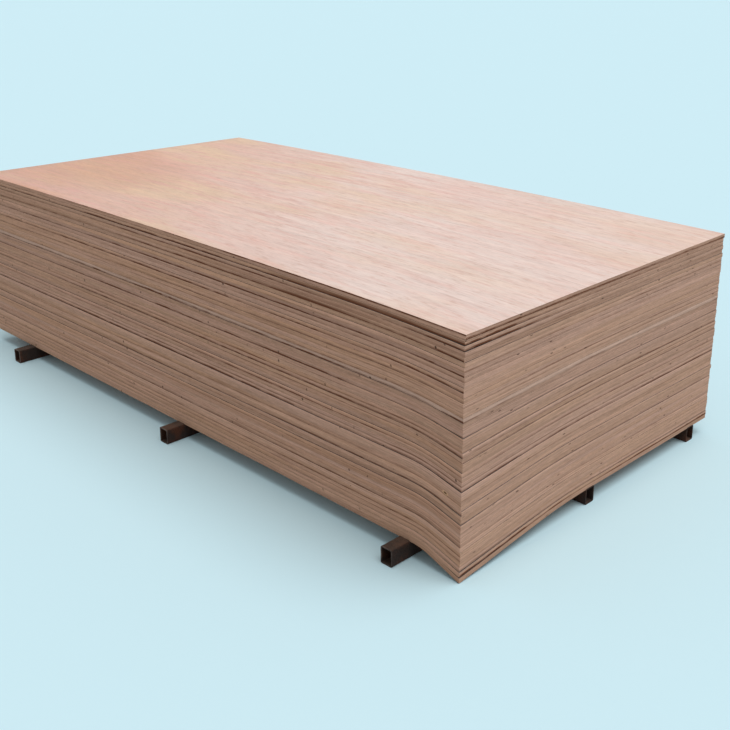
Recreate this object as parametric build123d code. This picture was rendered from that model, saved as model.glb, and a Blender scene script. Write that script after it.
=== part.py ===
from build123d import *
from math import atan2, cos, sin
from random import Random
import os

# A stack of plywood sheets lying on a grid of steel hollow-section bearers.
# X runs along the sheets, Y across them and Z up. The floor is at Z = 0, and the
# origin is on the floor under the middle of the stack. The near corner is at
# high X and low Y. Every size is in millimetres.

# Sheets
SHEET_LENGTH = 2440.0
SHEET_WIDTH = 1220.0
SHEET_THICKNESS = 12.0
SHEET_COUNT = 50
RESTING_GAP = 0.6            # air between two sheets where the stack lies flat
SHEET_SHIFT = 1.2            # how far a sheet lies out of line, along X or Y
SHIFT_SEED = 12

# Bearers
BEARER_WIDTH = 40.0
BEARER_HEIGHT = 50.0
BEARER_WALL = 3.0
BEARER_CORNER_RADIUS = 5.0
BEARER_OVERHANG = 67.0       # cross bearers beyond the long sides of the sheets
FAR_BEARER_INSET = 276.0     # end of the stack to the middle of the bearer
NEAR_BEARER_INSET = 189.0
MIDDLE_BEARER_OFFSET = 33.0  # from the middle of the stack
LENGTHWISE_OFFSET = -48.0    # first lengthwise bearer, from the middle of the stack
LENGTHWISE_INSET = 97.0      # second one, from the far long side

# Warp: the stack is bowed up along its length, and the near corner droops off
# the bearers. Both bends turn about one slanting axis, so that each sheet stays
# a surface that a flat board can be bent to.
CROWN_DROP = 9.5             # top sheet, one half length away from the crown
CROWN_PLACE = -200.0         # where the crown lies, across the bending axis
TOP_CORNER_DROP = 5.5
TOP_BEND_REACH = 450.0       # how far in from the near corner the top sheet bends
BEND_REACH_POWER = 3.0       # how the reach grows from the lowest sheet to the top one
LOWEST_BEND_START = 0.2      # share of the reach in which the bend sets in
TOP_BEND_START = 0.45
ORDINARY_OPENING = 0.44      # extra air at the near corner, above most sheets
LOWEST_OPENING = 6.0         # above the lowest sheet
SECOND_OPENING = 3.5
WIDE_OPENING = 1.9           # above the sheets of these numbers, 1 being the lowest
WIDE_OPENING_SHEETS = (4, 19, 26, 30, 39, 45, 47, 48, 49)

# Worked out from the sizes above
half_length = SHEET_LENGTH / 2
half_width = SHEET_WIDTH / 2
sheet_pitch = SHEET_THICKNESS + RESTING_GAP
cross_bearer_places = (
    FAR_BEARER_INSET - half_length,
    MIDDLE_BEARER_OFFSET,
    half_length - NEAR_BEARER_INSET,
)
lengthwise_bearer_places = (LENGTHWISE_OFFSET, half_width - LENGTHWISE_INSET)

# The bending axis touches the outer edge of the last cross bearer at the long
# side, and the first lengthwise bearer at the end of the stack.
fold_run_x = NEAR_BEARER_INSET - BEARER_WIDTH / 2
fold_run_y = half_width + lengthwise_bearer_places[0] - BEARER_WIDTH / 2
fold_angle = atan2(fold_run_x, fold_run_y)
corner_place = half_length * cos(fold_angle) + half_width * sin(fold_angle)
lowest_bend_reach = fold_run_x * cos(fold_angle)
trim_margin = 2 * SHEET_SHIFT


def opening_above(number):
    """Extra air at the near corner between a sheet and the next one up."""
    if number == 1:
        return LOWEST_OPENING
    if number == 2:
        return SECOND_OPENING
    if number in WIDE_OPENING_SHEETS:
        return WIDE_OPENING
    return ORDINARY_OPENING


def corner_drop(number):
    """How far the near corner of a sheet droops: the top sheet's drop and every
    opening between them."""
    return TOP_CORNER_DROP + sum(opening_above(n) for n in range(number, SHEET_COUNT))


def warp_points(number, lift):
    """Points of a sheet's side view along the bending axis, raised by lift: three on the
    crown, then where the drooping end's arc stops and where its straight tip stops."""
    rise = (number - 1) / (SHEET_COUNT - 1)
    flat = BEARER_HEIGHT + (number - 1) * sheet_pitch + lift
    crown_drop = CROWN_DROP * rise
    reach = lowest_bend_reach + (TOP_BEND_REACH - lowest_bend_reach) * rise**BEND_REACH_POWER
    bend_start = LOWEST_BEND_START + (TOP_BEND_START - LOWEST_BEND_START) * rise

    def crown_point(place):
        return Vector(place, flat - crown_drop * ((place - CROWN_PLACE) / half_length) ** 2)

    start = crown_point(-corner_place - trim_margin)
    fold = crown_point(corner_place - reach)
    half_way = crown_point((start.X + fold.X) / 2)
    slope = -2 * crown_drop * (fold.X - CROWN_PLACE) / half_length**2
    to_turn = Vector(1, slope) * (bend_start * (reach + trim_margin))
    turn = fold + to_turn
    tip = crown_point(corner_place + trim_margin) - Vector(0, corner_drop(number))
    arc_end = turn + (tip - turn).normalized() * to_turn.length
    return start, half_way, fold, arc_end, tip


def draw_warp(number, lift):
    """Add one face of a sheet to the side view and return its two ends."""
    start, half_way, fold, arc_end, tip = warp_points(number, lift)
    if number == 1:
        crown = Line(start, fold)
    else:
        crown = ThreePointArc(start, half_way, fold)
    TangentArc(fold, arc_end, tangent=crown % 1)
    Line(arc_end, tip)
    return start, tip


def make_sheet(number, shift_x, shift_y):
    """One board: the side view carried along the bending axis, cut to the sheet's outline."""
    axis = Vector(sin(fold_angle), cos(fold_angle), 0)
    across = Vector(cos(fold_angle), -sin(fold_angle), 0)
    carry = 2 * corner_place
    side_view = Plane(origin=axis * (-carry / 2), x_dir=across, z_dir=-axis)
    with BuildSketch(side_view) as section:
        with BuildLine():
            lower_start, lower_tip = draw_warp(number, 0)
            upper_start, upper_tip = draw_warp(number, SHEET_THICKNESS)
            Line(lower_start, upper_start)
            Line(lower_tip, upper_tip)
        make_face()
    board = Solid.extrude(section.sketch.face(), axis * carry)
    tall = 4 * (BEARER_HEIGHT + SHEET_COUNT * sheet_pitch)
    outline = Pos(shift_x, shift_y, 0) * Box(SHEET_LENGTH, SHEET_WIDTH, tall)
    return (board & outline).solid()


def hollow_section(length):
    """A length of bearer standing on its narrow side, along Y, with rounded corners."""
    inner_radius = max(BEARER_CORNER_RADIUS - BEARER_WALL, BEARER_WALL / 4)
    with BuildPart() as bearer:
        with BuildSketch(Plane.XZ.offset(-length / 2)):
            with Locations((0, BEARER_HEIGHT / 2)):
                RectangleRounded(BEARER_WIDTH, BEARER_HEIGHT, BEARER_CORNER_RADIUS)
                RectangleRounded(
                    BEARER_WIDTH - 2 * BEARER_WALL,
                    BEARER_HEIGHT - 2 * BEARER_WALL,
                    inner_radius,
                    mode=Mode.SUBTRACT,
                )
        extrude(amount=length)
    return bearer.part.solid()


def make_cross_bearer(place):
    """A bearer that runs right across under the stack and past both long sides."""
    return Pos(place, 0, 0) * hollow_section(SHEET_WIDTH + 2 * BEARER_OVERHANG)


def make_lengthwise_bearer(place):
    """The cut lengths of one line, butted against the sides of the cross bearers."""
    ends = [-half_length]
    for cross_place in cross_bearer_places:
        ends += [cross_place - BEARER_WIDTH / 2, cross_place + BEARER_WIDTH / 2]
    ends.append(half_length)
    lengths = []
    for start, end in zip(ends[::2], ends[1::2]):
        piece = Rot(0, 0, 90) * hollow_section(end - start)
        lengths.append(Pos((start + end) / 2, place, 0) * piece)
    return Compound(lengths)


def save(node, shape):
    """Write one node's file."""
    export_step(shape, f"parts/{node}.step")


os.makedirs("parts", exist_ok=True)

for index, place in enumerate(cross_bearer_places, start=1):
    save(f"cross_bearer_{index}", make_cross_bearer(place))

for index, place in enumerate(lengthwise_bearer_places, start=1):
    save(f"lengthwise_bearer_{index}", make_lengthwise_bearer(place))

# The top sheet and the lowest one lie furthest out of line, one each way, so
# that the stack as a whole stays centred.
chance = Random(SHIFT_SEED)
for number in range(1, SHEET_COUNT + 1):
    shift_x = chance.uniform(-SHEET_SHIFT, SHEET_SHIFT)
    shift_y = chance.uniform(-SHEET_SHIFT, SHEET_SHIFT)
    if number == SHEET_COUNT:
        shift_x = SHEET_SHIFT
    if number == 1:
        shift_x = -SHEET_SHIFT
    save(f"sheet_{number:02d}", make_sheet(number, shift_x, shift_y))
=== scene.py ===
from math import atan2, cos, radians, sin

import bpy
import numpy as np
from mathutils import Matrix, Vector


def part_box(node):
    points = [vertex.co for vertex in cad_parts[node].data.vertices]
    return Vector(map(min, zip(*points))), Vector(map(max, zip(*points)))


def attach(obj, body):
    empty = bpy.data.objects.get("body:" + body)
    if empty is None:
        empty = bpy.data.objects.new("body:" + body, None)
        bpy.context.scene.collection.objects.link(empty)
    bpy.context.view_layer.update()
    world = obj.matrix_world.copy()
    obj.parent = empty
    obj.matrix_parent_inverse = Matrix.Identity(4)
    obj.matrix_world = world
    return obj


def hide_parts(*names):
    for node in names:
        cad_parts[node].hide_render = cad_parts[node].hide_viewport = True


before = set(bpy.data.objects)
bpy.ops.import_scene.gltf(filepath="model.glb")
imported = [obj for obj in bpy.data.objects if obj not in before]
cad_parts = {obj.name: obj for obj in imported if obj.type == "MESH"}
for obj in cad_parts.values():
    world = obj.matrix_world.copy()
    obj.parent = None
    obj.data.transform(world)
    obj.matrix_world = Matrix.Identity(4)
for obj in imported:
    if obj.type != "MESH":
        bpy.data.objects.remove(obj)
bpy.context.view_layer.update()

# A stack of plywood sheets on steel bearers. Metres, the floor at z = 0, x along the
# sheets. The near corner, which droops, is at high x and low y.

SHEETS = sorted(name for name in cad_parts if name.startswith("sheet_"))
CROSS_BEARERS = sorted(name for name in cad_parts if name.startswith("cross_bearer_"))
LENGTHWISE_BEARERS = sorted(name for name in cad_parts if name.startswith("lengthwise_"))

# Sheet mesh
LINES_ALONG = 64             # grid lines that cross the length
LINES_ACROSS = 26            # grid lines that cross the width
CROWDING = 1.5               # how the grid lines crowd towards the drooping corner
ARRIS = 0.0003               # worn edge between a face and the sawn edges
STRONG_ARRIS = 0.0011        # at the foot of a sheet with a strong dark line of painted shade
ARRIS_ROUNDING = 0.3         # share of the arris at which its middle row lies
BURR = 0.002                 # fibres that the saw left hang at most this far below the lower face
BURR_CLEARANCE = 0.0001      # and stay this far above the next sheet
PLY_COUNT = 9
FACE_VENEER = 0.0007         # the two outer plies are thinner than the rest
PLY_RECESS = 0.00035         # how deep the saw leaves the softer plies
FIRM_RECESS = 0.4            # share of that in every second ply
GLUE_STEP = 0.00008          # half the height of the step between two plies
RIM_WAVE = 0.00022           # slow wander of each ply's sawn edge
SEED = 7

# Marks and painted shade on the sawn edges. Heights are above a sheet's lower face, unless they say
# otherwise.
CORNER_SHADE_FULL = 0.1       # distance from the drooping corner up to which its painted shade lines are full
CORNER_SHADE_REACH = 0.5      # and at which they end
PLY_WAVER = 0.007            # widest swing of the plies up and down
DARK_PLY_SHARE = 0.16
FOOT_SHADE_FULL = 0.0016      # the painted shade line at the foot is full up to here
FOOT_SHADE_TOP = 0.0034       # and ends here
FOOT_SHADE_RISE = 0.004       # the darkest lines end this much higher
TOP_SHADE_BAND_LOW = 0.0052        # painted shade band on the bare top sheet, below its upper face
TOP_SHADE_BAND_HIGH = 0.0028
HEAD_LOW = 0.0055            # pale head of a sheet, below its upper face
HEAD_HIGH = 0.002
KNOT_HEIGHT = 0.0062
KNOT_HALF_LENGTH = 0.011
KNOT_HALF_HEIGHT = 0.0055

# Marks on the faces and the bearers
WARM_PATCH_PLACE = (-1.12, -0.26)
WARM_PATCH_REACH = (0.62, 0.36)
DUST_AND_SHADE_FULL = 0.006            # distance from a covered sheet's edge up to which it is dusty and in painted shade
DUST_AND_SHADE_REACH = 0.03            # and at which both end
RIM_WEAR_AND_HIGHLIGHT = 0.0035            # how far wear and a painted highlight reach in from the cut end of a bearer
RIM_WEAR_AND_HIGHLIGHT_FULL = 0.0005

# Camera, from the edges of the stack in the photograph
FRAME_PIXELS = 730.0
FOCAL_PIXELS = 1038.8
AXIS_PIXEL = (412.6, 297.0)
CAMERA_PLACE = (2.6606, -2.3053, 1.4833)
CAMERA_PITCH = radians(18.29)
CAMERA_YAW = radians(133.48)
CAMERA_ROLL = radians(0.45)
SENSOR_WIDTH = 36.0
VIEW_REACH = 500.0


def srgb(red, green, blue):
    """A colour as seen, 0 to 255 a channel, turned into linear light: above a small foot the
    curve is ((c + 0.055) / 1.055) to the power 2.4."""
    seen = np.array([red, green, blue]) / 255
    linear = np.where(seen <= 0.04045, seen / 12.92, ((seen + 0.055) / 1.055) ** 2.4)
    return (*linear.tolist(), 1.0)


# Colours of the finishes, as they look in full light
VENEER_PALE = srgb(235, 211, 201)
VENEER_WARM = srgb(217, 164, 137)
VENEER_PINK = srgb(228, 191, 178)
VENEER_TAN = srgb(228, 194, 163)
VENEER_ROSE = srgb(226, 175, 161)
VENEER_FLECK = srgb(209, 153, 127)
EDGE_PINKISH = srgb(203, 166, 147)
EDGE_TAN = srgb(200, 161, 131)
EDGE_GREYISH = srgb(198, 171, 155)
# the dark plies, and also the painted shade on the sawn edges
EDGE_BROWN = srgb(114, 73, 52)
VOID_DARK = srgb(62, 40, 30)
KNOT_PALE = srgb(218, 182, 146)
KNOT_HEART = srgb(84, 54, 38)
STEEL_SCALE = srgb(49, 36, 31)
STEEL_RUST = srgb(85, 49, 32)
STEEL_PITS = srgb(32, 23, 20)
STEEL_DUST = srgb(112, 92, 78)
# the cut rims, for wear and a painted highlight
STEEL_RIM = srgb(112, 102, 96)
FLOOR_UNSEEN = srgb(186, 185, 182)
BACKGROUND = srgb(206, 236, 245)

# Floor and light
FLOOR_HALF = 120.0
AMBIENT = (0.45, 0.45, 0.45, 1.0)
SUN_FROM = (0.31, 0.12, 1.0)
SUN_STRENGTH = 1.85
SUN_ANGLE = radians(50)


# Helpers for node materials

class Finish:
    """A node material under construction. Most methods add nodes and return their output;
    wherever one takes a value, that is a plain number or colour, or another node's output."""

    def __init__(self, name):
        self.material = bpy.data.materials.new(name)
        self.material.use_nodes = True
        self.nodes = self.material.node_tree.nodes
        self.links = self.material.node_tree.links
        self.shader = self.nodes["Principled BSDF"]

    def add(self, kind, **settings):
        node = self.nodes.new(kind)
        for key, value in settings.items():
            setattr(node, key, value)
        return node

    def feed(self, socket, value):
        """Link a node's output to the socket, or write a plain value into it."""
        if isinstance(value, bpy.types.NodeSocket):
            self.links.new(value, socket)
        else:
            socket.default_value = value

    def math(self, operation, *values):
        node = self.add("ShaderNodeMath", operation=operation)
        for socket, value in zip(node.inputs, values):
            self.feed(socket, value)
        return node.outputs[0]

    def chain(self, operation, values):
        """The same operation on all the values, from the first to the last."""
        result = values[0]
        for value in values[1:]:
            result = self.math(operation, result, value)
        return result

    def total(self, *values):
        return self.chain("ADD", values)

    def product(self, *values):
        return self.chain("MULTIPLY", values)

    def highest(self, *values):
        return self.chain("MAXIMUM", values)

    def rest_of(self, share):
        """One less the share."""
        return self.math("SUBTRACT", 1.0, share)

    def centred(self, value, strength):
        """A pattern from 0 to 1 moved to swing about 0, times its strength."""
        return self.product(self.math("SUBTRACT", value, 0.5), strength)

    def remap(self, value, low, high, to_low=0.0, to_high=1.0):
        """A smooth step: to_low where the value is low, to_high where it is high."""
        node = self.add("ShaderNodeMapRange", interpolation_type="SMOOTHSTEP")
        for socket, part in zip(node.inputs, (value, low, high, to_low, to_high)):
            self.feed(socket, part)
        return node.outputs[0]

    def mix(self, share, first, second, blend="MIX"):
        node = self.add("ShaderNodeMix", data_type="RGBA", blend_type=blend)
        self.feed(node.inputs[0], share)
        self.feed(node.inputs[6], first)
        self.feed(node.inputs[7], second)
        return node.outputs[2]

    def vector(self, x=0.0, y=0.0, z=0.0):
        node = self.add("ShaderNodeCombineXYZ")
        for socket, value in zip(node.inputs, (x, y, z)):
            self.feed(socket, value)
        return node.outputs[0]

    def split(self, vector):
        node = self.add("ShaderNodeSeparateXYZ")
        self.feed(node.inputs[0], vector)
        return node.outputs

    def place(self):
        return self.add("ShaderNodeTexCoord").outputs["Object"]

    def facing(self):
        return self.split(self.add("ShaderNodeTexCoord").outputs["Normal"])

    def sheet_map(self):
        return self.split(self.add("ShaderNodeUVMap", uv_map="sheet_map").outputs[0])

    def attribute(self, name):
        return self.add("ShaderNodeAttribute", attribute_name=name).outputs["Fac"]

    def noise(self, vector, scale, detail, roughness, board=None):
        """Soft noise from 0 to 1, which differs from board to board where a board is given."""
        node = self.add("ShaderNodeTexNoise")
        if board is not None:
            node.noise_dimensions = "4D"
            self.feed(node.inputs["W"], board)
        self.feed(node.inputs["Vector"], vector)
        node.inputs["Scale"].default_value = scale
        node.inputs["Detail"].default_value = detail
        node.inputs["Roughness"].default_value = roughness
        return node.outputs[0]

    def scatter(self, vector, board):
        """A number from 0 to 1 that jumps with every change of the vector or the board."""
        node = self.add("ShaderNodeTexWhiteNoise", noise_dimensions="4D")
        self.feed(node.inputs["Vector"], vector)
        self.feed(node.inputs["W"], board)
        return node.outputs[0]

    def dim(self, colour, light):
        """The colour times the light, channel by channel."""
        return self.mix(1.0, colour, self.vector(light, light, light), "MULTIPLY")

    def bump(self, height, distance, strength):
        node = self.add("ShaderNodeBump")
        node.inputs["Distance"].default_value = distance
        node.inputs["Strength"].default_value = strength
        self.feed(node.inputs["Height"], height)
        self.feed(self.shader.inputs["Normal"], node.outputs[0])

    def finish(self, colour, roughness, specular):
        self.feed(self.shader.inputs["Base Color"], colour)
        self.feed(self.shader.inputs["Roughness"], roughness)
        self.shader.inputs["Specular IOR Level"].default_value = specular
        return self.material


def veneer_finish():
    """Sanded face veneer. The grain runs along x: fine pores, flecks and long streaks drawn out
    along it, on soft clouds of pink, tan and rose, all warmer towards the far end and most
    of all in one patch there. A covered sheet is dusty and darker along its edges, partly painted
    shade under the next sheet."""
    f = Finish("sanded_veneer")
    x, y, _ = f.split(f.place())
    board = f.attribute("board")

    def drawn_out(per_metre_along, per_metre_across, detail=3.0, roughness=0.55, layer=0.0):
        place = f.vector(f.product(x, per_metre_along), f.product(y, per_metre_across), layer)
        return f.noise(place, 1.0, detail, roughness, board)

    streaks = drawn_out(4.8, 66.0, 5.0, 0.7)
    ripples = drawn_out(3.2, 40.0, 2.0, 0.5, layer=15.0)
    flecks = drawn_out(22.0, 150.0, layer=3.0)
    pores = drawn_out(60.0, 640.0, 2.0, 0.5, layer=6.0)

    # colour
    nearness = f.remap(f.total(x, f.product(y, 0.7)), -1.5, 0.5)
    liveliness = f.remap(x, -0.6, 0.8, 1.0, 0.4)
    pink = f.remap(drawn_out(2.0, 7.0), 0.4, 0.66, 0.0, 0.5)
    tan = f.remap(drawn_out(1.6, 4.5, 3.0, 0.5, layer=9.0), 0.44, 0.62, 0.0, 0.75)
    rose = f.remap(drawn_out(4.6, 52.0, 4.0, 0.65, layer=12.0), 0.46, 0.66, 0.0, 0.9)
    ground = f.mix(nearness, VENEER_WARM, VENEER_PALE)
    ground = f.mix(pink, ground, VENEER_PINK)
    ground = f.mix(f.product(liveliness, tan), ground, VENEER_TAN)
    ground = f.mix(f.product(liveliness, rose), ground, VENEER_ROSE)
    patch_x = f.product(f.math("SUBTRACT", x, WARM_PATCH_PLACE[0]), 1 / WARM_PATCH_REACH[0])
    patch_y = f.product(f.math("SUBTRACT", y, WARM_PATCH_PLACE[1]), 1 / WARM_PATCH_REACH[1])
    away_squared = f.total(f.product(patch_x, patch_x), f.product(patch_y, patch_y))
    ground = f.mix(f.remap(away_squared, 0.0, 1.3, 0.55, 0.0), ground, VENEER_FLECK)
    ground = f.mix(f.remap(flecks, 0.48, 0.3, 0.0, 0.35), ground, VENEER_FLECK)

    # light and dark
    light = f.total(
        0.987,
        f.centred(streaks, 0.41),
        f.centred(ripples, 0.13),
        f.centred(flecks, 0.24),
        f.centred(pores, 0.32),
    )
    # painted shade: the top a little darker towards the long side at low y
    light = f.product(light, f.remap(y, -HALF_WIDTH, 0.25, 0.97, 1.0))
    # a covered sheet is dusty and darker near its edges, partly painted shade where the next sheet
    # lies over it
    to_end = f.math("SUBTRACT", HALF_LENGTH, f.math("ABSOLUTE", x))
    to_side = f.math("SUBTRACT", HALF_WIDTH, f.math("ABSOLUTE", y))
    dust_and_gap_shade = f.remap(f.math("MINIMUM", to_end, to_side), DUST_AND_SHADE_FULL, DUST_AND_SHADE_REACH, 0.8, 0.0)
    light = f.math("SUBTRACT", light, f.product(dust_and_gap_shade, f.attribute("covered")))
    f.bump(flecks, 0.0003, 0.4)
    return f.finish(f.dim(ground, light), f.remap(streaks, 0.3, 0.8, 0.55, 0.7), 0.35)


def sawn_edge_finish():
    """Sawn edges. Down each edge: plies of their own tone, some of them dark, a pale head, and
    a dark line of painted shade at the foot where two sheets meet, above which the wood may be
    shaded brown.
    Along it: streaks of pinkish grey and tan, long on the sides and shorter on the ends,
    with small open voids and a few knots."""
    f = Finish("sawn_plywood_edge")
    along, height, _ = f.sheet_map()
    board = f.attribute("board")
    end = f.math("GREATER_THAN", f.math("ABSOLUTE", f.facing()[0]), 0.7)
    side = f.rest_of(end)
    to_corner = f.math("ABSOLUTE", f.math("SUBTRACT", along, 2 * HALF_LENGTH))

    def drawn_out(per_metre_along, per_metre_up, detail=3.0, roughness=0.6, layer=0.0):
        place = f.vector(f.product(along, per_metre_along), f.product(height, per_metre_up), layer)
        return f.noise(place, 1.0, detail, roughness, board)

    def on_ends(share):
        """1 on the sides and the share on the ends."""
        return f.remap(end, 0.0, 1.0, 1.0, share)

    def voids(per_metre_along, per_metre_up, slant, share):
        """Slanting ovals in a share of the cells of a scattered grid, each as dark as chance
        has it."""
        cell = f.add("ShaderNodeTexVoronoi", voronoi_dimensions="2D")
        lengthwise = f.total(
            f.product(along, per_metre_along), f.product(board, 31.0), f.product(height, slant)
        )
        upwards = f.total(f.product(height, per_metre_up), f.product(board, 17.0))
        f.feed(cell.inputs["Vector"], f.vector(lengthwise, upwards))
        cell.inputs["Scale"].default_value = 1.0
        pick, depth, _ = f.split(cell.outputs["Color"])
        spot = f.remap(cell.outputs["Distance"], 0.2, 0.38, 1.0, 0.0)
        darkness = f.total(f.product(depth, 0.7), 0.3)
        return f.product(spot, f.product(f.math("LESS_THAN", pick, share), darkness))

    # plies, which waver up and down a little along the edge
    level = f.total(height, f.centred(drawn_out(6.0, 0.0, 4.0), PLY_WAVER))
    ply = f.math("FLOOR", f.product(level, PLY_COUNT / SHEET_THICKNESS))
    ply_tone = f.scatter(f.vector(ply, 0.0, 0.0), board)
    ply_hue = f.scatter(f.vector(ply, 3.0, 0.0), board)
    dark_ply = f.math("GREATER_THAN", f.scatter(f.vector(ply, 6.0, 0.0), board), 1 - DARK_PLY_SHARE)

    # colour
    patches = drawn_out(1.3, 22.0, 3.0, 0.5, layer=2.0)
    patch_hue = f.remap(patches, 0.36, 0.64, 0.0, 0.5)
    hue = f.total(f.product(ply_hue, 0.2), patch_hue, f.attribute("hue"))
    grey = f.highest(f.product(end, 0.4), f.attribute("grey"))
    ground = f.mix(grey, f.mix(hue, EDGE_PINKISH, EDGE_TAN), EDGE_GREYISH)

    # patterns along the edge that come and go
    line_waver = f.product(
        f.remap(drawn_out(1.7, 0.0, 4.0, 0.62, layer=8.0), 0.34, 0.58, 0.45, 1.4),
        f.remap(drawn_out(16.0, 90.0, layer=14.0), 0.36, 0.6, 0.55, 1.15),
        f.remap(to_corner, 0.9, 2.3, 1.0, 0.5),
    )
    shade_waver = f.remap(drawn_out(1.2, 25.0, 4.0, layer=10.0), 0.36, 0.64, 0.2, 1.3)
    ply_waver = f.remap(drawn_out(3.1, 40.0, layer=12.0), 0.4, 0.6)

    # light and dark
    streaks = drawn_out(2.5, 300.0, 4.0)
    head = f.remap(height, SHEET_THICKNESS - HEAD_LOW, SHEET_THICKNESS - HEAD_HIGH)
    light = f.total(
        1.0,
        f.attribute("tone"),
        f.centred(ply_tone, 0.2),
        f.centred(streaks, 0.85),
        f.centred(drawn_out(14.0, 420.0, layer=4.0), 0.6),
        f.centred(drawn_out(55.0, 280.0, layer=6.0), 0.55),
        f.centred(drawn_out(24.0, 75.0, layer=16.0), 0.2),
        f.product(head, f.attribute("crest"), shade_waver),
    )

    # the dark line at the foot: painted shade in the gap above the next sheet down, which on the
    # near end may show only near the corner
    corner_fade = f.remap(to_corner, CORNER_SHADE_FULL, CORNER_SHADE_REACH, 1.0, 0.0)
    corner_shade_line = f.product(f.attribute("corner_shade_line"), corner_fade)
    end_shade_line = f.highest(f.attribute("end_shade_line"), corner_shade_line)
    line = f.total(f.product(f.attribute("side_shade_line"), side), f.product(end_shade_line, end))
    foot_top = f.total(FOOT_SHADE_TOP, f.product(line, FOOT_SHADE_RISE))
    foot = f.product(f.remap(level, FOOT_SHADE_FULL, foot_top, 1.0, 0.0), line, line_waver)

    # brown shading above it, stronger near the corner, and dark plies
    shade = f.product(
        f.math("POWER", f.rest_of(f.math("DIVIDE", height, SHEET_THICKNESS)), 0.5),
        f.attribute("shade"),
        shade_waver,
        on_ends(0.2),
        f.remap(to_corner, 0.5, 1.6, 1.0, 0.4),
    )
    dark_plies = f.product(dark_ply, ply_waver, f.product(f.rest_of(f.product(end, 0.5)), 0.42))

    # painted shade: a dark band along the head of the bare top sheet, most of all on its long sides
    bare = f.product(f.rest_of(f.attribute("covered")), on_ends(0.3))
    band_low, band_high = SHEET_THICKNESS - TOP_SHADE_BAND_LOW, SHEET_THICKNESS - TOP_SHADE_BAND_HIGH
    top_shade_band = f.product(f.remap(height, band_low, band_high, 0.0, 0.85), bare, line_waver)
    # painted shade at the foot, above it and along the top sheet's head, with the dark plies
    dark = f.highest(foot, shade, dark_plies, top_shade_band)
    colour = f.mix(f.math("MINIMUM", dark, 1.0), f.dim(ground, light), EDGE_BROWN)

    # open voids, upright on the sides and lying flat on the ends
    upright = voids(per_metre_along=95.0, per_metre_up=78.0, slant=14.0, share=0.0075)
    lying = voids(per_metre_along=52.0, per_metre_up=165.0, slant=0.0, share=0.013)
    void = f.highest(f.product(upright, side), f.product(lying, end))
    colour = f.mix(f.product(void, 0.9), colour, VOID_DARK)

    # a knot: a ring of pale wood round a dark heart
    knot_run = f.product(f.math("SUBTRACT", along, f.attribute("knot_at")), 1 / KNOT_HALF_LENGTH)
    knot_rise = f.product(f.math("SUBTRACT", height, KNOT_HEIGHT), 1 / KNOT_HALF_HEIGHT)
    away = f.math("SQRT", f.total(f.product(knot_run, knot_run), f.product(knot_rise, knot_rise)))
    colour = f.mix(f.remap(away, 0.75, 1.0, 1.0, 0.0), colour, KNOT_PALE)
    colour = f.mix(f.remap(away, 0.3, 0.65, 0.9, 0.0), colour, KNOT_HEART)
    f.bump(f.total(streaks, f.product(ply_tone, 0.5), f.product(void, -2.5)), 0.0005, 0.6)
    return f.finish(colour, 0.85, 0.08)


def rusty_steel_finish():
    """Rusty hollow section: dark scale with brown rust in patches, dusty on top, and pale grey
    round the rim where the cross bearers were cut, from wear and a painted highlight."""
    f = Finish("rusty_steel")
    place = f.place()
    patches = f.noise(place, 16.0, 5.0, 0.62)
    grains = f.noise(place, 260.0, 4.0, 0.6)
    ground = f.mix(f.remap(patches, 0.42, 0.66), STEEL_SCALE, STEEL_RUST)
    ground = f.mix(f.remap(grains, 0.45, 0.75, 0.0, 0.7), ground, STEEL_PITS)
    dusty = f.remap(f.facing()[2], 0.6, 1.0, 0.0, 0.35)
    dusty = f.product(dusty, f.remap(patches, 0.35, 0.6, 0.4, 1.0))
    ground = f.mix(dusty, ground, STEEL_DUST)
    # pale grey at the cut end: wear, and a painted highlight on the rim
    across = f.math("ABSOLUTE", f.split(place)[1])
    worn_and_highlight = f.remap(across, CUT_END - RIM_WEAR_AND_HIGHLIGHT, CUT_END - RIM_WEAR_AND_HIGHLIGHT_FULL, 0.0, 0.75)
    worn_and_highlight = f.product(worn_and_highlight, f.remap(patches, 0.4, 0.6, 0.1, 1.0))
    ground = f.mix(worn_and_highlight, ground, STEEL_RIM)
    f.bump(grains, 0.0008, 0.7)
    return f.finish(ground, f.remap(grains, 0.3, 0.7, 0.6, 0.85), 0.3)


# Shapes read from the frame

def bending_angle():
    """The angle between y and the axis that every sheet bends about. The axis passes the outer
    edge of the last cross bearer at the long side and the first lengthwise bearer at the
    end: the angle is atan2 of those two distances from the near corner."""
    low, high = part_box(SHEETS[0])
    near_corner_x = (high.x - low.x) / 2
    near_corner_y = -(high.y - low.y) / 2
    run_x = near_corner_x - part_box(CROSS_BEARERS[-1])[1].x
    run_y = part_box(LENGTHWISE_BEARERS[0])[0].y - near_corner_y
    return atan2(run_x, run_y)


def read_triangles(node):
    """Corner points and normals of a node's triangles, as arrays."""
    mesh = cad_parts[node].data
    points = np.empty(len(mesh.vertices) * 3)
    mesh.vertices.foreach_get("co", points)
    corners = np.empty(len(mesh.loops), dtype=int)
    mesh.loops.foreach_get("vertex_index", corners)
    normals = np.empty(len(mesh.polygons) * 3)
    mesh.polygons.foreach_get("normal", normals)
    return points.reshape(-1, 3)[corners].reshape(-1, 3, 3), normals.reshape(-1, 3)


def measure_thickness(node):
    """Height of a sheet's sawn edge: the tallest upright side of any of its triangles."""
    corners, normals = read_triangles(node)
    sides = corners[np.abs(normals[:, 2]) < 0.1]
    steps = sides - np.roll(sides, 1, axis=1)
    upright = np.abs(steps[..., :2]).sum(axis=2) < 1e-5
    return float(np.abs(steps[..., 2])[upright].max())


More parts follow.
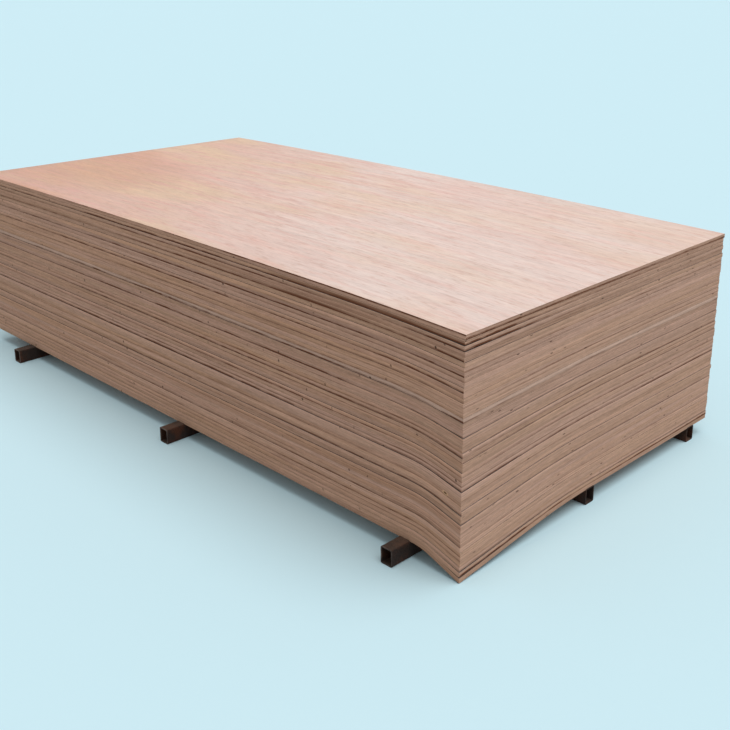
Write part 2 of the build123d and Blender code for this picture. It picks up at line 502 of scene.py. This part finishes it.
BENDING_ANGLE = bending_angle()
SHEET_THICKNESS = measure_thickness(SHEETS[0])
HALF_LENGTH = (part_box(SHEETS[0])[1].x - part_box(SHEETS[0])[0].x) / 2
HALF_WIDTH = (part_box(SHEETS[0])[1].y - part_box(SHEETS[0])[0].y) / 2
CUT_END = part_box(CROSS_BEARERS[0])[1].y


def place_across(x, y):
    """Place of a point in the side view along the bending axis: x cos(angle) - y sin(angle)."""
    return x * cos(BENDING_ANGLE) - y * sin(BENDING_ANGLE)


def read_side_view(node):
    """The line of a sheet's upper face, seen along the bending axis: places across it in
    rising order, with their heights."""
    corners, normals = read_triangles(node)
    upper = corners[normals[:, 2] > 0.5].reshape(-1, 3)
    places, first = np.unique(place_across(upper[:, 0], upper[:, 1]).round(5), return_index=True)
    return places, upper[first, 2]


def height_of(side_view, x, y):
    """Height of a sheet's upper face at x and y, read off its side view."""
    return np.interp(place_across(x, y), *side_view)


# Sheets that stand out, numbered from the lowest

# how dark the painted shade line at the foot is along the sides
SIDE_SHADE_LINES = {
    5: 0.4, 6: 0.55, 8: 0.55, 9: 0.3, 12: 0.4, 14: 0.35, 15: 0.55, 17: 0.4, 20: 1.0, 21: 0.5,
    22: 0.35, 23: 0.65, 26: 0.4, 27: 0.8, 28: 0.65, 31: 0.9, 34: 1.0, 35: 0.5, 37: 0.3, 38: 0.5,
    40: 1.0, 42: 0.35, 43: 0.95, 46: 1.0, 48: 0.8, 49: 1.0, 50: 0.1,
}
# and on the ends
END_SHADE_LINES = {
    2: 1.0, 3: 0.3, 8: 0.3, 13: 0.25, 18: 0.3, 20: 0.6, 21: 0.35, 23: 0.4, 26: 0.3, 27: 0.35,
    28: 0.5, 31: 0.35, 34: 0.5, 36: 0.3, 37: 0.4, 42: 0.3, 44: 0.4, 47: 0.5, 49: 0.4, 50: 1.0,
}
# and on the near end where it shows only near the drooping corner
CORNER_SHADE_LINES = {48: 0.9, 49: 1.0}
# how brown the shading above that line is
BROWN_SHEETS = {50: 0.35, 49: 1.0, 48: 0.25, 47: 0.45, 46: 1.0, 43: 0.35, 40: 0.35, 31: 0.25}
PALE_SHEET = 34
# how far along the rim a knot lies
KNOTS = {17: 2.389, 7: 4.31, 28: 5.2, 37: 6.63}


def board_values(number, chance):
    """What sets one board apart: a number that shifts its patterns, how light, how tan and how
    grey it is, how dark the painted shade is at its foot and above it, how pale its
    head is, whether another sheet covers it, and its knot's place along the rim."""
    tone = chance.normal(0.0, 0.04)
    hue = chance.uniform(-0.15, 0.3) + 0.15 * sin(number * 0.55)
    grey = 0.3 * chance.uniform()
    if number == PALE_SHEET:
        tone, grey = 0.16, 1.0
    return {
        "board": number * 1.37,
        "tone": tone,
        "hue": hue,
        "grey": grey,
        "side_shade_line": SIDE_SHADE_LINES.get(number, 0.2 * chance.uniform()),
        "end_shade_line": END_SHADE_LINES.get(number, 0.15 * chance.uniform()),
        "corner_shade_line": CORNER_SHADE_LINES.get(number, 0.0),
        "shade": max(BROWN_SHEETS.get(number, 0.0), 0.35 * chance.uniform() ** 2),
        "crest": chance.uniform(0.0, 0.22),
        "covered": float(number < len(SHEETS)),
        "knot_at": KNOTS.get(number, -1.0),
    }


# Shape of a sheet

def crowded(low, high, count, towards_high):
    """Places from low to high, count of them, closer together towards one end: with t even
    from 0 to 1, the place goes as 1 - (1 - t) to the power CROWDING."""
    even = np.linspace(0, 1, count)
    crowding = 1 - (1 - even) ** CROWDING
    if not towards_high:
        crowding = 1 - crowding[::-1]
    return low + (high - low) * crowding


def trace_outline(low, high, lines_x, lines_y):
    """Points of a sheet's outline at the grid lines, in the order of the rim: along the near
    side to the drooping corner, along the near end, back along the other side, and along
    the far end. With them goes the distance run to each, and at last the whole round."""
    outline_x = np.concatenate([
        lines_x[:-1],
        np.full(LINES_ACROSS - 1, high.x),
        lines_x[:0:-1],
        np.full(LINES_ACROSS - 1, low.x),
    ])
    outline_y = np.concatenate([
        np.full(LINES_ALONG - 1, low.y),
        lines_y[:-1],
        np.full(LINES_ALONG - 1, high.y),
        lines_y[:0:-1],
    ])
    steps = np.hypot(np.roll(outline_x, -1) - outline_x, np.roll(outline_y, -1) - outline_y)
    return outline_x, outline_y, np.concatenate([[0.0], np.cumsum(steps)])


def foot_shade_lines(values, lines_y):
    """How dark the painted shade line at the foot is at each point of the outline: one value along
    the sides and one on the ends. On the near end the corner line is full up to CORNER_SHADE_FULL
    from the drooping corner and falls evenly to nothing at CORNER_SHADE_REACH."""
    sides = np.full(LINES_ALONG - 1, values["side_shade_line"])
    ends = np.full(LINES_ACROSS - 1, values["end_shade_line"])
    beyond = lines_y[:-1] - lines_y[0] - CORNER_SHADE_FULL
    fade = np.clip(beyond / (CORNER_SHADE_REACH - CORNER_SHADE_FULL), 0, 1)
    near_end = np.maximum(ends, values["corner_shade_line"] * (1 - fade))
    return np.concatenate([sides, near_end, sides, ends])


def edge_profile(chance):
    """Rows of a sheet's sawn edge from the top face down, as depths and insets: a worn arris,
    then every ply with its own recess and a small step at each glue line. The last three
    rows are the lower arris."""
    inner = (SHEET_THICKNESS - 2 * FACE_VENEER) / (PLY_COUNT - 2)
    lines = FACE_VENEER + inner * np.arange(PLY_COUNT - 1)
    steps = np.stack([lines - GLUE_STEP, lines + GLUE_STEP], axis=1).ravel()[1:-1]
    recess = chance.uniform(0, PLY_RECESS, PLY_COUNT)
    recess[1::2] *= FIRM_RECESS
    upper_arris = [0.0, ARRIS * ARRIS_ROUNDING, ARRIS]
    depths = np.concatenate([upper_arris, steps, np.full(3, SHEET_THICKNESS)])
    insets = np.concatenate([
        [ARRIS, ARRIS * ARRIS_ROUNDING, recess[0]],
        np.repeat(recess, 2)[2:-2],
        [recess[-1], 0.0, 0.0],
    ])
    return depths, insets


def rim_wander(run, rows, chance):
    """Slow wander of the sawn edge along the rim: for each row a sum of sines of the distance
    along the rim, from three to sixty waves round the sheet, with phases at random."""
    waves = np.array([3, 7, 16, 33, 60])
    phases = chance.uniform(0, 2 * np.pi, (rows, len(waves)))
    turns = 2 * np.pi * run[None, :-1, None] * waves / run[-1]
    return np.sin(turns + phases[:, None, :]).mean(axis=2)


def burr_depth(run, below, line, chance):
    """How far the saw's burr hangs below the sheet's lower face along the rim. It is a share
    of BURR that wavers along the rim as a sum of sines, less where the sheet has a dark line
    of painted shade at its foot, and it leaves BURR_CLEARANCE of the air above the next sheet down."""
    waves = np.array([5, 11, 23, 41])
    phases = chance.uniform(0, 2 * np.pi, len(waves))
    wander = np.sin(2 * np.pi * run[:-1, None] * waves / run[-2] + phases).mean(axis=1)
    share = np.clip(1 + 0.5 * wander - 1.2 * line, 0, 1)
    return np.minimum(BURR * share, np.maximum(below - BURR_CLEARANCE, 0))


def air_below(number, side_view, x, y):
    """Height of a sheet's lower face above the next sheet down, or a metre, which is no limit,
    for the lowest one."""
    if number == 1:
        return 1.0
    lower = read_side_view(SHEETS[number - 2])
    return height_of(side_view, x, y) - SHEET_THICKNESS - height_of(lower, x, y)


def shape_rim(low, high, outline, line, below, chance):
    """The rim's x, y and depth below the upper face, a row for each row of the edge profile:
    the outline moved in by the row's inset and its wander. The lower arris is wider where
    the painted shade line at the foot is dark, and the burr hangs from the last three rows."""
    outline_x, outline_y, run = outline
    foot_arris = ARRIS + (STRONG_ARRIS - ARRIS) * line
    depths, insets = edge_profile(chance)
    depth = np.repeat(depths[:, None], len(line), axis=1)
    depth[-3] -= foot_arris
    depth[-2] -= foot_arris * ARRIS_ROUNDING
    wander = rim_wander(run, len(depths), chance)
    inset = insets[:, None] + RIM_WAVE * np.clip(wander + 0.35, 0, None)
    inset[-2] += foot_arris * ARRIS_ROUNDING
    inset[-1] += foot_arris
    burr = burr_depth(run, below, line, chance)
    depth[-3:] += np.array([0.5, 1.0, 1.0])[:, None] * burr
    x = np.clip(outline_x, low.x + inset, high.x - inset)
    y = np.clip(outline_y, low.y + inset, high.y - inset)
    return x, y, depth


# Faces and maps of a sheet

def rim_quads(numbers):
    """Faces between each row of the rim and the next, all the way round."""
    following = np.roll(numbers, -1, axis=1)
    corners = [numbers[:-1], numbers[1:], following[1:], following[:-1]]
    return np.stack(corners, axis=-1).reshape(-1, 4)


def rim_map(run, height):
    """Map places of the corners of the rim's faces: the distance along the rim, and the height
    above the sheet's lower face."""
    rows, columns = height.shape
    here = np.broadcast_to(run[:-1], (rows - 1, columns))
    further = np.broadcast_to(run[1:], (rows - 1, columns))
    height_further = np.roll(height, -1, axis=1)
    return np.stack([
        np.stack([here, height[:-1]], axis=-1),
        np.stack([here, height[1:]], axis=-1),
        np.stack([further, height_further[1:]], axis=-1),
        np.stack([further, height_further[:-1]], axis=-1),
    ], axis=2).reshape(-1, 2)


def face_quads(ring, inner, upwards):
    """Faces of a whole flat side, from the numbers of its points: a row of the rim round the
    outside and the inner grid within."""
    grid = np.empty((LINES_ALONG, LINES_ACROSS), dtype=int)
    grid[1:-1, 1:-1] = inner
    side, end = LINES_ALONG - 1, LINES_ACROSS - 1
    grid[:-1, 0] = ring[:side]
    grid[-1, :-1] = ring[side:side + end]
    grid[:0:-1, -1] = ring[side + end:2 * side + end]
    grid[0, :0:-1] = ring[2 * side + end:]
    corners = [grid[:-1, :-1], grid[1:, :-1], grid[1:, 1:], grid[:-1, 1:]]
    if not upwards:
        corners = corners[::-1]
    return np.stack(corners, axis=-1).reshape(-1, 4)


def make_sheet(node, number, chance):
    """One board as a closed mesh. Its two faces are grids of x and y; its rim carries the edge
    profile round the outline. Heights are the side view read from the frame, less the
    depth below the upper face."""
    low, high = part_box(node)
    values = board_values(number, chance)
    side_view = read_side_view(node)

    def points_at(x, y, depth):
        """x and y with the height of the upper face there, less the depth."""
        return np.stack([x, y, height_of(side_view, x, y) - depth], axis=-1).reshape(-1, 3)

    lines_x = crowded(low.x, high.x, LINES_ALONG, True)
    lines_y = crowded(low.y, high.y, LINES_ACROSS, False)
    outline = trace_outline(low, high, lines_x, lines_y)
    outline_x, outline_y, run = outline
    # how dark the painted shade line at the foot is round the rim
    line = foot_shade_lines(values, lines_y)
    below = air_below(number, side_view, outline_x, outline_y)
    rim_x, rim_y, depth = shape_rim(low, high, outline, line, below, chance)
    inner_x, inner_y = np.meshgrid(lines_x[1:-1], lines_y[1:-1], indexing="ij")
    points = np.concatenate([
        points_at(rim_x, rim_y, depth),
        points_at(inner_x, inner_y, 0.0),
        points_at(inner_x, inner_y, SHEET_THICKNESS),
    ])

    rim_numbers = np.arange(depth.size).reshape(depth.shape)
    top_numbers = depth.size + np.arange(inner_x.size).reshape(inner_x.shape)
    bottom_numbers = top_numbers + inner_x.size
    rim_faces = rim_quads(rim_numbers)
    top_faces = face_quads(rim_numbers[0], top_numbers, True)
    bottom_faces = face_quads(rim_numbers[-1], bottom_numbers, False)
    faces = np.concatenate([rim_faces, top_faces, bottom_faces])
    on_edge = np.arange(len(faces)) < len(rim_faces)
    flat = faces[~on_edge].ravel()
    uv = np.concatenate([rim_map(run, SHEET_THICKNESS - depth), points[flat][:, :2]])

    mesh = bpy.data.meshes.new(f"plywood_{node}")
    mesh.from_pydata(points.tolist(), [], faces.tolist())
    mesh.uv_layers.new(name="sheet_map").data.foreach_set("uv", uv.astype(np.float32).ravel())
    mesh.materials.append(VENEER)
    mesh.materials.append(SAWN_EDGE)
    mesh.polygons.foreach_set("material_index", on_edge.astype(np.int32))
    mesh.polygons.foreach_set("use_smooth", ~on_edge)
    for name, value in values.items():
        layer = mesh.attributes.new(name, "FLOAT", "POINT")
        layer.data.foreach_set("value", np.full(len(points), value, dtype=np.float32))
    mesh.update()
    piece = bpy.data.objects.new(f"plywood_{node}", mesh)
    bpy.context.scene.collection.objects.link(piece)
    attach(piece, "root")
    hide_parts(node)


VENEER = veneer_finish()
SAWN_EDGE = sawn_edge_finish()
RUSTY_STEEL = rusty_steel_finish()

chance = np.random.default_rng(SEED)
for number, node in enumerate(SHEETS, start=1):
    make_sheet(node, number, chance)

for node in CROSS_BEARERS + LENGTHWISE_BEARERS:
    for material_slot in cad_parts[node].material_slots:
        material_slot.material = RUSTY_STEEL


# Floor, light and camera

def background_rays(nodes, links):
    """1 for the rays that show the background, straight from the camera or by way of gloss or
    glass: the three kinds of ray added up, to 1 at most."""
    rays = nodes.new("ShaderNodeLightPath")
    total = rays.outputs["Is Camera Ray"]
    for kind in ("Is Glossy Ray", "Is Transmission Ray"):
        step = nodes.new("ShaderNodeMath")
        step.operation = "ADD"
        step.use_clamp = True
        links.new(total, step.inputs[0])
        links.new(rays.outputs[kind], step.inputs[1])
        total = step.outputs[0]
    return total


def make_floor():
    """A wide flat floor. The camera and gloss see it pale blue; the light that it throws back
    up is that of bare concrete."""
    corners = [(-1, -1), (1, -1), (1, 1), (-1, 1)]
    mesh = bpy.data.meshes.new("floor")
    mesh.from_pydata([(x * FLOOR_HALF, y * FLOOR_HALF, 0) for x, y in corners], [], [range(4)])
    floor = bpy.data.objects.new("floor", mesh)
    bpy.context.scene.collection.objects.link(floor)
    f = Finish("floor_paint")
    colour = f.mix(background_rays(f.nodes, f.links), FLOOR_UNSEEN, BACKGROUND)
    mesh.materials.append(f.finish(colour, 0.9, 0.1))


def make_light():
    """Even light from all round, and a wide soft sun high on the side of the short ends, so
    that the top lies at full level, the short side at about 0.7 and the long side at 0.5."""
    world = bpy.data.worlds.new("studio")
    world.use_nodes = True
    bpy.context.scene.world = world
    nodes, links = world.node_tree.nodes, world.node_tree.links
    mix = nodes.new("ShaderNodeMix")
    mix.data_type = "RGBA"
    links.new(background_rays(nodes, links), mix.inputs[0])
    mix.inputs[6].default_value = AMBIENT
    mix.inputs[7].default_value = BACKGROUND
    links.new(mix.outputs[2], nodes["Background"].inputs["Color"])
    data = bpy.data.lights.new("soft_sun", "SUN")
    data.energy = SUN_STRENGTH
    data.angle = SUN_ANGLE
    sun = bpy.data.objects.new("soft_sun", data)
    sun.rotation_euler = Vector(SUN_FROM).to_track_quat("Z", "Y").to_euler()
    bpy.context.scene.collection.objects.link(sun)


def make_camera():
    """The camera of the photograph: view direction from pitch and yaw, turned about itself by
    the roll, with the lens axis off the middle of the picture."""
    data = bpy.data.cameras.new("camera")
    data.sensor_width = SENSOR_WIDTH
    data.lens = FOCAL_PIXELS / FRAME_PIXELS * SENSOR_WIDTH
    data.shift_x = (FRAME_PIXELS / 2 - AXIS_PIXEL[0]) / FRAME_PIXELS
    data.shift_y = (AXIS_PIXEL[1] - FRAME_PIXELS / 2) / FRAME_PIXELS
    data.clip_end = VIEW_REACH
    heading = Vector((cos(CAMERA_YAW), sin(CAMERA_YAW), 0.0))
    view = heading * cos(CAMERA_PITCH) - Vector((0.0, 0.0, sin(CAMERA_PITCH)))
    level = Vector((sin(CAMERA_YAW), -cos(CAMERA_YAW), 0.0))
    up = level.cross(view)
    right = level * cos(CAMERA_ROLL) + up * sin(CAMERA_ROLL)
    up = up * cos(CAMERA_ROLL) - level * sin(CAMERA_ROLL)
    turn = Matrix((right, up, -view)).transposed().to_4x4()
    camera = bpy.data.objects.new("camera", data)
    camera.matrix_world = Matrix.Translation(CAMERA_PLACE) @ turn
    bpy.context.scene.collection.objects.link(camera)
    bpy.context.scene.camera = camera


make_floor()
make_light()
make_camera()
bpy.context.scene.view_settings.view_transform = "Standard"
